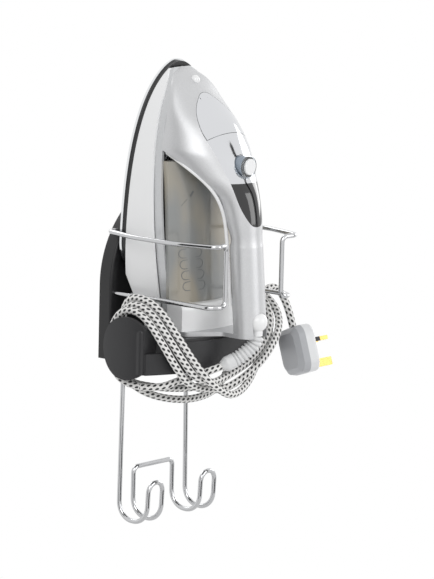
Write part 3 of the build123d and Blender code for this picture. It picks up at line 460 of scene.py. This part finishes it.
def frames_along(points: Sequence[Vector]) -> list[Matrix]:
    """Matrices that stand on a line without twisting, their Z along it."""
    tangents = [(b - a).normalized() for a, b in zip(points, points[1:])]
    tangents.append(tangents[-1])
    side = tangents[0].orthogonal().normalized()
    frames = []
    for k, (spot, direction) in enumerate(zip(points, tangents)):
        if k:
            side = tangents[k - 1].rotation_difference(direction) @ side
        side = (side - direction * side.dot(direction)).normalized()
        cross = direction.cross(side)
        frames.append(Matrix.Translation(spot) @ Matrix((side, cross, direction)).transposed().to_4x4())
    return frames


def swept(points: Sequence[Vector], radius: Callable[[float], float], sides: int) -> bmesh.types.BMesh:
    """A closed round tube along a line, with its UV map in metres along and turns around.

    Args:
        points: The line, close together.
        radius: Radius at a distance along the line, in metres.
        sides: Faces round the tube.

    Returns:
        The tube.
    """
    form = bmesh.new()
    frames = frames_along(points)
    lengths = [0.0]
    for a, b in zip(points, points[1:]):
        lengths.append(lengths[-1] + (b - a).length)
    layer = form.verts.layers.float.new("along")
    first = bmesh.ops.create_circle(form, segments=sides, radius=radius(0.0), matrix=frames[0])["verts"]
    edges = list({e for v in first for e in v.link_edges})
    start_cap = bmesh.ops.contextual_create(form, geom=edges)["faces"]
    back, level = frames[0].inverted(), radius(0.0)
    for matrix, distance in zip(frames[1:], lengths[1:]):
        grown = bmesh.ops.extrude_edge_only(form, edges=edges)["geom"]
        ring = [g for g in grown if isinstance(g, bmesh.types.BMVert)]
        edges = [g for g in grown if isinstance(g, bmesh.types.BMEdge)]
        bmesh.ops.transform(form, matrix=matrix @ Matrix.Scale(radius(distance) / level, 4) @ back,
                            verts=ring)
        for vert in ring:
            vert[layer] = distance
        back, level = matrix.inverted(), radius(distance)
    end_cap = bmesh.ops.contextual_create(form, geom=edges)["faces"]
    bmesh.ops.recalc_face_normals(form, faces=form.faces[:])
    map_tube(form, layer, frames, lengths, set(start_cap) | set(end_cap))
    return form


def map_tube(form: bmesh.types.BMesh, layer: object, frames: Sequence[Matrix],
             lengths: Sequence[float], caps: set) -> None:
    """Write a tube's UV map from each vertex's distance along and its turn around."""
    uv = form.loops.layers.uv.new("UVMap")
    place = {round(distance, 7): matrix.inverted() for distance, matrix in zip(lengths, frames)}
    turns = {}
    for vert in form.verts:
        local = place.get(round(vert[layer], 7))
        if local is None:
            near = min(place, key=lambda d: abs(d - vert[layer]))
            local = place[near]
        spot = local @ vert.co
        turns[vert] = (math.atan2(spot.y, spot.x) / math.tau) % 1.0
    for face in form.faces:
        if face in caps:
            continue
        values = [turns[loop.vert] for loop in face.loops]
        wrap = max(values) - min(values) > 0.5
        for loop, value in zip(face.loops, values):
            loop[uv].uv = (loop.vert[layer], value + 1.0 if wrap and value < 0.5 else value)


def spline_points(name: str, route: Sequence[Point], step: int = 8) -> list[Vector]:
    """Points read from one smooth NURBS spline through the route's control points.

    Args:
        name: Name of the curve that is made and removed again.
        route: Control points in millimetres right, forward and up.
        step: Points between two control points.

    Returns:
        The line's points in metres.
    """
    data = bpy.data.curves.new(name, "CURVE")
    data.dimensions = "3D"
    data.resolution_u = step
    spline = data.splines.new("NURBS")
    spline.points.add(len(route) - 1)
    for point, place in zip(spline.points, route):
        point.co = (*at(*place), 1.0)
    spline.order_u = 3
    spline.use_endpoint_u = True
    holder = bpy.data.objects.new(name, data)
    bpy.context.scene.collection.objects.link(holder)
    bpy.context.view_layer.update()
    mesh = bpy.data.meshes.new_from_object(holder.evaluated_get(bpy.context.evaluated_depsgraph_get()))
    points = [v.co.copy() for v in mesh.vertices]
    bpy.data.objects.remove(holder)
    bpy.data.curves.remove(data)
    bpy.data.meshes.remove(mesh)
    return points


def line_length(points: Sequence[Vector]) -> float:
    """Length of a line through points."""
    return sum((b - a).length for a, b in zip(points, points[1:]))


# ---------------------------------------------------------------- carried-over parts
@dataclass
class CarriedParts:
    """The CAD nodes that keep their shape, each with its finish."""

    finishes: dict[str, Finish] = field(default_factory=lambda: {
        "back_plate": BLACK_PLATE, "tray": TRAY_BLACK, "cage_wire": CHROME, "hook_wire": CHROME,
        "tray_screws": STEEL, "soleplate": SOLE, "heating_element": STEEL, "steam_chamber_lid": CAST,
        "thermostat": STEEL, "heat_shield": HEAT_BLACK, "skirt": WHITE, "accent_band": BAND,
        "shell": SILVER, "control_head": MIRROR, "grip_insert": BLACK_GLOSS, "fill_flap": MIRROR,
        "flap_pin": STEEL, "spray_nozzle": WHITE, "spray_tube": SLEEVE, "pump": WHITE,
        "steam_dial": BARREL, "dial_ring": CLEAR, "boost_button": WHITE, "water_tank": TANK,
        "heel_block": WHITE, "rear_cover": SILVER, "rear_cover_screw": STEEL, "cord_ball": WHITE,
        "bend_protector": SLEEVE, "terminal_block": WHITE, "plug_body": PLUG_WHITE,
        "plug_cover": PLUG_GREY, "earth_pin": BRASS, "line_pins": BRASS, "pin_sleeves": PIN_BLACK,
        "fuse_carrier": PLUG_WHITE, "fuse": CERAMIC, "cord_lead": BRAID, "cord_wound": BRAID})

    def dress(self, nodes: dict[str, bpy.types.Object]) -> None:
        """Give every CAD node its finish."""
        for name, node in nodes.items():
            material = self.finishes[name].material()
            for slot in node.material_slots:
                slot.material = material
            if not node.material_slots:
                node.data.materials.append(material)
        log.info("dressed %d parts", len(nodes))


# ---------------------------------------------------------------- cord
@dataclass
class BraidedCord:
    """The mains cord: a short lead off the iron, then the length wound on the tray."""

    diameter: float = 0.007
    sides: int = 20
    plug_middle: Point = (97.0, 111.4, -93.0)
    plug_yaw: float = math.radians(24.5)
    plug_pitch: float = math.radians(6.7)
    plug_roll: float = math.radians(-17.5)
    plug_half: float = 23.0
    straight_out: float = 13.0
    lead_route: tuple[Point, ...] = ((-26.5, 119.8, -91.6), (-43, 114.6, -96), (-58, 96, -104),
                                     (-76, 86, -111), (-83, 70, -110))
    near_lanes: tuple[tuple[Point, ...], ...] = (
        ((-90, 54, -109), (-89, 38, -91), (-88.5, 36, -62), (-88, 47, -41.5), (-87, 64, -38)),
        ((-80, 49, -109), (-80, 38, -92), (-79.5, 38, -61), (-80, 47, -37), (-80.5, 65, -34)),
        ((-69, 42, -112), (-71, 35, -89), (-72, 35, -54), (-74.5, 45, -30), (-75, 66, -28.5)))
    front_lanes: tuple[tuple[Point, ...], ...] = (
        ((-85.5, 80, -46.5), (-82, 93.5, -65), (-75, 104, -86), (-59, 107.5, -107),
         (-36, 109.5, -114), (-14, 114.5, -115.5), (5, 118.5, -108), (21, 121, -99),
         (35.5, 119.8, -92), (51.5, 117, -81.5), (68, 111, -70), (81.5, 100, -57.5), (86.5, 84, -45)),
        ((-79.5, 82, -42.5), (-75, 95.5, -61), (-68.5, 108, -82), (-57, 114.5, -99.5),
         (-38, 117, -107), (-15, 114, -105), (8, 113.5, -99), (29, 112.3, -92), (46.5, 109, -83),
         (60.5, 105, -73), (71.5, 98, -60), (78, 85, -44.5)),
        ((-73.5, 84.5, -37.5), (-69, 99, -57), (-62, 111.5, -78.5), (-51, 123, -100),
         (-34, 126, -113), (-17, 125.5, -120), (3, 122, -117), (20, 117, -109.5), (34, 110.5, -101.5),
         (50, 106.5, -91.5), (63.5, 103.5, -82.5), (73, 97, -74)))
    far_lanes: tuple[tuple[Point, ...], ...] = (
        ((86, 67, -38.5), (86, 47, -41), (88, 37, -64), (89, 40, -92), (86, 52, -109)),
        ((78, 67, -38.5), (78, 46, -41), (80, 36, -64), (80, 37, -92), (77, 43, -113)))
    back_lanes: tuple[tuple[Point, ...], ...] = (
        ((62, 60, -116), (27, 70, -121), (-14, 72, -121), (-50, 63, -117)),
        ((58, 53, -124), (24, 66, -132), (-16, 68, -133), (-50, 56, -126)))
    tail_route: tuple[Point, ...] = ((71.5, 88.5, -65), (65, 86.5, -54.5), (66, 88, -42),
                                     (76, 88, -33.5), (89, 88, -33), (98.5, 90.5, -42.5))

    def plug_frame(self) -> Matrix:
        """The plug's own frame: Z along its pins, Y up to where the cord enters."""
        yaw, pitch = self.plug_yaw, self.plug_pitch
        pins = Vector((math.cos(pitch) * math.cos(yaw), -math.cos(pitch) * math.sin(yaw), math.sin(pitch)))
        across = Vector((math.sin(yaw), math.cos(yaw), 0.0))
        basis = Matrix((across, pins.cross(across), pins)).transposed().to_4x4()
        return (Matrix.Translation(at(*self.plug_middle)) @ basis
                @ Matrix.Rotation(self.plug_roll, 4, "Z"))

    def above_plug(self, distance: float) -> Point:
        """A point on the line that the cord leaves the plug along, in millimetres."""
        spot = self.plug_frame() @ (Vector((0.0, self.plug_half + distance, 0.0)) * MM)
        return (spot.x / MM, -spot.y / MM, spot.z / MM)

    def wound_route(self) -> list[Point]:
        """The wound cord's control points, turn after turn, to the plug."""
        route = [self.lead_route[-1]]
        for turn, (near, front) in enumerate(zip(self.near_lanes, self.front_lanes)):
            route += [*near, *front]
            if turn < len(self.far_lanes):
                route += [*self.far_lanes[turn], *self.back_lanes[turn]]
        return route + [*self.tail_route, self.above_plug(self.straight_out), self.above_plug(0)]

    def build(self, sleeve: bpy.types.Object, plug_parts: Sequence[bpy.types.Object]) -> None:
        """Args:
            sleeve: The bend protector that the lead comes out of. Not used.
            plug_parts: The pieces of the plug at the far end. Not used.
        """
        radius = self.diameter / 2
        lead_line = spline_points("lead_line", self.lead_route)
        lead = piece("cord_lead_braid", swept(lead_line, lambda _: radius, self.sides), BRAID, "",
                     ["cord_lead"])
        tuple(lead_line[0])
        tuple(lead_line[-1])
        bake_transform(lead)
        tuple(lead_line[0])
        line_length(lead_line)
        line = spline_points("wound_line", self.wound_route())
        wound = piece("cord_wound_braid", swept(line, lambda _: radius, self.sides), BRAID, "holder",
                      ["cord_wound"])
        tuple(line[0])
        line_length(line)
        log.info("cord lengths %.3f and %.3f", line_length(lead_line), line_length(line))


@dataclass
class BendSleeve:
    """The ribbed sleeve that guides the lead out of the iron's ball joint."""

    route: tuple[Point, ...] = ((0, 140.3, -63.3), (-0.7, 139.4, -68), (-3.0, 137.2, -73.2),
                                (-8.5, 133, -79.5), (-15.5, 126.5, -86.5), (-26, 120, -91.5))
    neck: float = 4.9
    rib: float = 7.0
    ribs: int = 8
    ribbed_share: float = 0.70
    rib_steepness: float = 3.2
    collar: float = 7.1
    collar_end: float = 4.5
    taper_from: float = 0.62
    slimmest: float = 4.4
    sides: int = 28

    def radius(self, distance: float, total: float) -> float:
        """Radius in metres: ribs, then a smooth collar that narrows to the cord."""
        share = distance / total
        if share < self.ribbed_share:
            phase = (share / self.ribbed_share * self.ribs) % 1.0
            bulge = max(0.0, min(1.0, self.rib_steepness * (0.5 - abs(phase - 0.5))))
            return (self.neck + (self.rib - self.neck) * bulge) * MM
        along = (share - self.ribbed_share) / (1.0 - self.ribbed_share)
        taper = max(0.0, along - self.taper_from) / (1.0 - self.taper_from)
        collar = self.collar - (self.collar - self.collar_end) * taper
        return max(collar, self.slimmest) * MM

    def build(self) -> bpy.types.Object:
        """Make the sleeve, which stands for the plain CAD one."""
        line = spline_points("sleeve_line", self.route, step=24)
        total = line_length(line)
        form = swept(line, lambda distance: self.radius(distance, total), self.sides)
        return piece("bend_sleeve", form, SLEEVE, "iron", ["bend_protector"], angle=0.9)


# ---------------------------------------------------------------- small trim
def ribbon(line: Sequence[Vector], sides: Sequence[Vector], out: Sequence[Vector], half: float,
           thick: float, closed: bool) -> bmesh.types.BMesh:
    """A thin flat strip along a line.

    Args:
        line: Points along its middle.
        sides: Unit direction across the strip at each point.
        out: Unit direction away from the surface at each point.
        half: Half of its width in metres.
        thick: Thickness in metres, half of it on either side of the line.
        closed: Whether the last point joins the first.

    Returns:
        The strip's closed shape.
    """
    form = bmesh.new()
    stands = [Matrix.Translation(spot)
              @ Matrix((side * 2 * half, up * thick, side.cross(up))).transposed().to_4x4()
              for spot, side, up in zip(line, sides, out)]
    bmesh.ops.create_grid(form, x_segments=1, y_segments=1, size=0.5, matrix=stands[0])
    start_face = form.faces[:]
    first = edges = form.edges[:]
    for here, there in zip(stands, stands[1:]):
        grown = bmesh.ops.extrude_edge_only(form, edges=edges)["geom"]
        edges = [g for g in grown if isinstance(g, bmesh.types.BMEdge)]
        bmesh.ops.transform(form, matrix=there @ here.inverted(),
                            verts=[g for g in grown if isinstance(g, bmesh.types.BMVert)])
    if closed:
        bmesh.ops.delete(form, geom=start_face, context="FACES_ONLY")
        bmesh.ops.bridge_loops(form, edges=first + edges)
    else:
        bmesh.ops.contextual_create(form, geom=edges)
    bmesh.ops.recalc_face_normals(form, faces=form.faces[:])
    return form


@dataclass
class TankMarks:
    """Bare printed outlines on the water tank, in millimetres: four capsules and a level mark."""

    first: tuple[float, float] = (-26.5, 10.5)
    rows: int = 4
    pitch: float = 10.3
    shift: float = 1.3
    half_long: float = 12.0
    half_tall: float = 4.1
    tilt: float = 0.02
    end_steps: int = 14
    line_half: float = 0.28
    line_thick: float = 0.3
    level: tuple[tuple[float, float], ...] = ((-36.0, 55.0), (-33.0, 58.0), (-30.0, 61.0))
    level_half: float = 0.12
    level_bar: tuple[float, float] = (-25.0, 66.0)
    bar_reach: tuple[float, float] = (1.6, 2.3)
    bar_half: float = 0.9
    bottom: float = -36.0
    proud_of_wall: float = 85.6
    half_wide: float = 47.0
    bow: float = 13.5
    lean: float = 0.0398

    @property
    def bow_r(self) -> float:
        """Radius of the tank's bowed front."""
        return (self.half_wide ** 2 + self.bow ** 2) / (2 * self.bow)

    def on_tank(self, x: float, up: float) -> Vector:
        """A place just on the tank's bowed and leaning front."""
        behind = self.bow_r - math.sqrt(self.bow_r ** 2 - x ** 2)
        return at(x, self.proud_of_wall - behind - self.lean * (up - self.bottom), up)

    def facing(self, x: float) -> Vector:
        """The direction that the tank's front faces at a distance from its middle."""
        return Vector((x / math.sqrt(self.bow_r ** 2 - x ** 2), -1.0, self.lean)).normalized()

    def capsule(self, x: float, up: float) -> bmesh.types.BMesh:
        """One empty capsule outline."""
        flat = self.half_long - self.half_tall
        spots = []
        for end in (1, -1):
            for k in range(self.end_steps + 1):
                turn = math.pi * (k / self.end_steps - 0.5) + (0.0 if end > 0 else math.pi)
                spots.append((end * flat + self.half_tall * math.cos(turn),
                              self.half_tall * math.sin(turn), math.cos(turn), math.sin(turn)))
        line, sides, out = [], [], []
        for across, rise, side_x, side_z in spots:
            here = x + across
            away = self.facing(here)
            line.append(self.on_tank(here, up + rise + self.tilt * across))
            along = Vector((0.0, 0.0, 1.0)).cross(away).normalized()
            sides.append((along * side_x + Vector((0.0, 0.0, 1.0)) * side_z).normalized())
            out.append(away)
        return ribbon(line, sides, out, self.line_half * MM, self.line_thick * MM, closed=True)

    def stroke(self, places: Sequence[tuple[float, float]], half: float) -> bmesh.types.BMesh:
        """A printed stroke through places on the tank."""
        line = [self.on_tank(*place) for place in places]
        out = [self.facing(place[0]) for place in places]
        sides = [(line[min(k + 1, len(line) - 1)] - line[max(k - 1, 0)]).cross(out[k]).normalized()
                 for k in range(len(line))]
        return ribbon(line, sides, out, half * MM, self.line_thick * MM, closed=False)

    def build(self) -> None:
        """Make all the marks."""
        for row in range(self.rows):
            across, rise = self.first[0] + row * self.shift, self.first[1] - row * self.pitch
            piece(f"tank_capsule_{row + 1}", self.capsule(across, rise), INK, "iron")
        piece("tank_level_line", self.stroke(self.level, self.level_half), INK, "iron")
        (x, up), (across, rise) = self.level_bar, self.bar_reach
        bar = self.stroke(((x - across, up - rise), (x + across, up + rise)), self.bar_half)
        piece("tank_level_bar", bar, INK, "iron")


@dataclass
class HandleTrim:
    """The pale rim of the hand opening."""

    rim: tuple[Point, ...] = ((-43.5, 62, 104.5), (-42, 75, 98), (-38, 87, 90), (-31.5, 97.5, 80.5),
                              (-24.5, 105.5, 69), (-18.8, 110, 55), (-16.4, 112.5, 40), (-15.6, 114.5, 20),
                              (-15.4, 117, -5), (-15.4, 119.5, -36))
    radius: float = 0.0017
    sides: int = 14
    crease: float = 1.2

    def build(self) -> None:
        """Make the rim on both sides."""
        for name, side in (("left", 1), ("right", -1)):
            route = [(side * x, forward, up) for x, forward, up in self.rim]
            line = spline_points(f"rim_line_{name}", route, step=6)
            tube = swept(line, lambda _: self.radius, self.sides)
            piece(f"opening_rim_{name}", tube, WHITE, "iron", angle=self.crease)


# ---------------------------------------------------------------- studio
def turned_to_object(place: Point) -> Matrix:
    """The stand of a lamp or card at a place in metres, turned to the object."""
    spot = Vector(place)
    return Matrix.Translation(spot) @ (spot - OBJECT_MIDDLE).to_track_quat("Z", "Y").to_matrix().to_4x4()


def staged(name: str, form: bmesh.types.BMesh, shade: float, roughness: float) -> bpy.types.Object:
    """Turn a bmesh into a plain grey thing that belongs to the studio.

    Args:
        name: Name of the object, its mesh and its material.
        form: Its shape, which is freed.
        shade: Its grey.
        roughness: Its roughness.

    Returns:
        The new object.
    """
    mesh = bpy.data.meshes.new(name)
    form.to_mesh(mesh)
    form.free()
    material, shader = new_material(name)
    shader.inputs["Base Color"].default_value = (shade, shade, shade, 1.0)
    shader.inputs["Roughness"].default_value = roughness
    mesh.materials.append(material)
    made = bpy.data.objects.new(name, mesh)
    bpy.context.scene.collection.objects.link(made)
    return made


@dataclass
class Studio:
    """Pale floor, soft lamps, a white surround and the camera."""

    azimuth: float = math.radians(-50.0)
    elevation: float = math.radians(9.6)
    roll: float = math.radians(1.38)
    distance: float = 3.703
    lens: float = 241.741
    sensor: float = 36.0
    aside: float = 0.0692
    axis_height: float = -0.0355
    floor_level: float = -0.62
    floor_radius: float = 1.1
    surround: float = 0.62

    def camera(self) -> None:
        """Stand the camera at the viewing angle."""
        data = bpy.data.cameras.new("view")
        data.sensor_width = self.sensor
        data.lens = self.lens
        data.clip_end = 50.0
        camera = bpy.data.objects.new("view", data)
        bpy.context.scene.collection.objects.link(camera)
        az, el = self.azimuth, self.elevation
        back = Vector((math.sin(az) * math.cos(el), -math.cos(az) * math.cos(el), math.sin(el)))
        right = Vector((math.cos(az), math.sin(az), 0.0))
        up = back.cross(right)
        turned_right = right * math.cos(self.roll) + up * math.sin(self.roll)
        turned_up = up * math.cos(self.roll) - right * math.sin(self.roll)
        basis = Matrix((turned_right, turned_up, back)).transposed().to_4x4()
        place = right * self.aside + back * self.distance + Vector((0.0, 0.0, self.axis_height))
        camera.matrix_world = Matrix.Translation(place) @ basis
        bpy.context.scene.camera = camera

    def seen_white(self, w: Wiring) -> bpy.types.NodeSocket:
        """One where the view, a mirror or clear plastic sees the surround, else nought."""
        path = w.node("LightPath").outputs
        return w.math("MAXIMUM", path["Is Camera Ray"],
                      w.math("MAXIMUM", path["Is Glossy Ray"], path["Is Transmission Ray"]))

    def world(self) -> None:
        """A dim white surround that looks plain white behind the object."""
        world = bpy.data.worlds.new("surround")
        bpy.context.scene.world = world
        world.use_nodes = True
        w = Wiring(world.node_tree)
        background = world.node_tree.nodes["Background"]
        background.inputs["Color"].default_value = (1.0, 1.0, 1.0, 1.0)
        seen = self.seen_white(w)
        strength = w.math("ADD", self.surround, w.math("MULTIPLY", seen, 1.0 - self.surround))
        w.join(strength, background.inputs["Strength"])

    def lamp(self, name: str, place: Point, size: float, watts: float) -> None:
        """A soft square lamp turned to the object."""
        data = bpy.data.lights.new(name, "AREA")
        data.shape, data.size, data.energy = "SQUARE", size, watts
        made = bpy.data.objects.new(name, data)
        bpy.context.scene.collection.objects.link(made)
        made.matrix_world = turned_to_object(place)

    def card(self, name: str, place: Point, wide: float, tall: float, shade: float) -> None:
        """A dark card that only mirrors see, which gives bright metal its dark streaks."""
        form = bmesh.new()
        bmesh.ops.create_grid(form, x_segments=1, y_segments=1, size=0.5,
                              matrix=turned_to_object(place) @ Matrix.Diagonal((wide, tall, 1, 1)))
        made = staged(name, form, shade, roughness=1.0)
        made.visible_camera = False
        made.visible_diffuse = False
        made.visible_shadow = False
        made.visible_transmission = False

    def floor(self) -> None:
        """A round pale floor well below the hooks."""
        form = bmesh.new()
        bmesh.ops.create_circle(form, cap_ends=True, segments=96, radius=self.floor_radius,
                                matrix=Matrix.Translation((0.0, -0.1, self.floor_level)))
        staged("floor", form, 0.86, roughness=0.9)

    def build(self) -> None:
        """Set up the whole studio."""
        bpy.context.scene.view_settings.view_transform = "Standard"
        self.camera()
        self.world()
        self.floor()
        self.lamp("key", (-1.5, -1.2, 1.3), 1.2, 13.0)
        self.lamp("front", (0.7, -2.0, 0.5), 1.0, 9.0)
        self.lamp("right", (1.8, -0.3, 0.4), 0.8, 7.0)
        self.lamp("behind", (0.2, 1.4, 1.0), 1.0, 6.0)
        self.card("card_left", (-0.9, -0.05, 0.05), 0.35, 1.6, 0.03)
        self.card("card_right", (0.75, -0.9, 0.0), 0.16, 1.8, 0.04)
        self.card("card_low", (-0.1, -1.0, -0.5), 1.0, 0.3, 0.08)


def main() -> None:
    """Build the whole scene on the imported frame."""
    logging.basicConfig(level=logging.INFO, format="%(name)s: %(message)s")
    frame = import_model()
    build_groups()
    nodes = frame["nodes"]
    CarriedParts().dress(nodes)
    sleeve = BendSleeve().build()
    plug_names = ("plug_body", "plug_cover", "earth_pin", "line_pins", "pin_sleeves",
                  "fuse_carrier", "fuse")
    BraidedCord().build(sleeve, [nodes[name] for name in plug_names])
    TankMarks().build()
    HandleTrim().build()
    Studio().build()


if __name__ == "__main__":
    main()
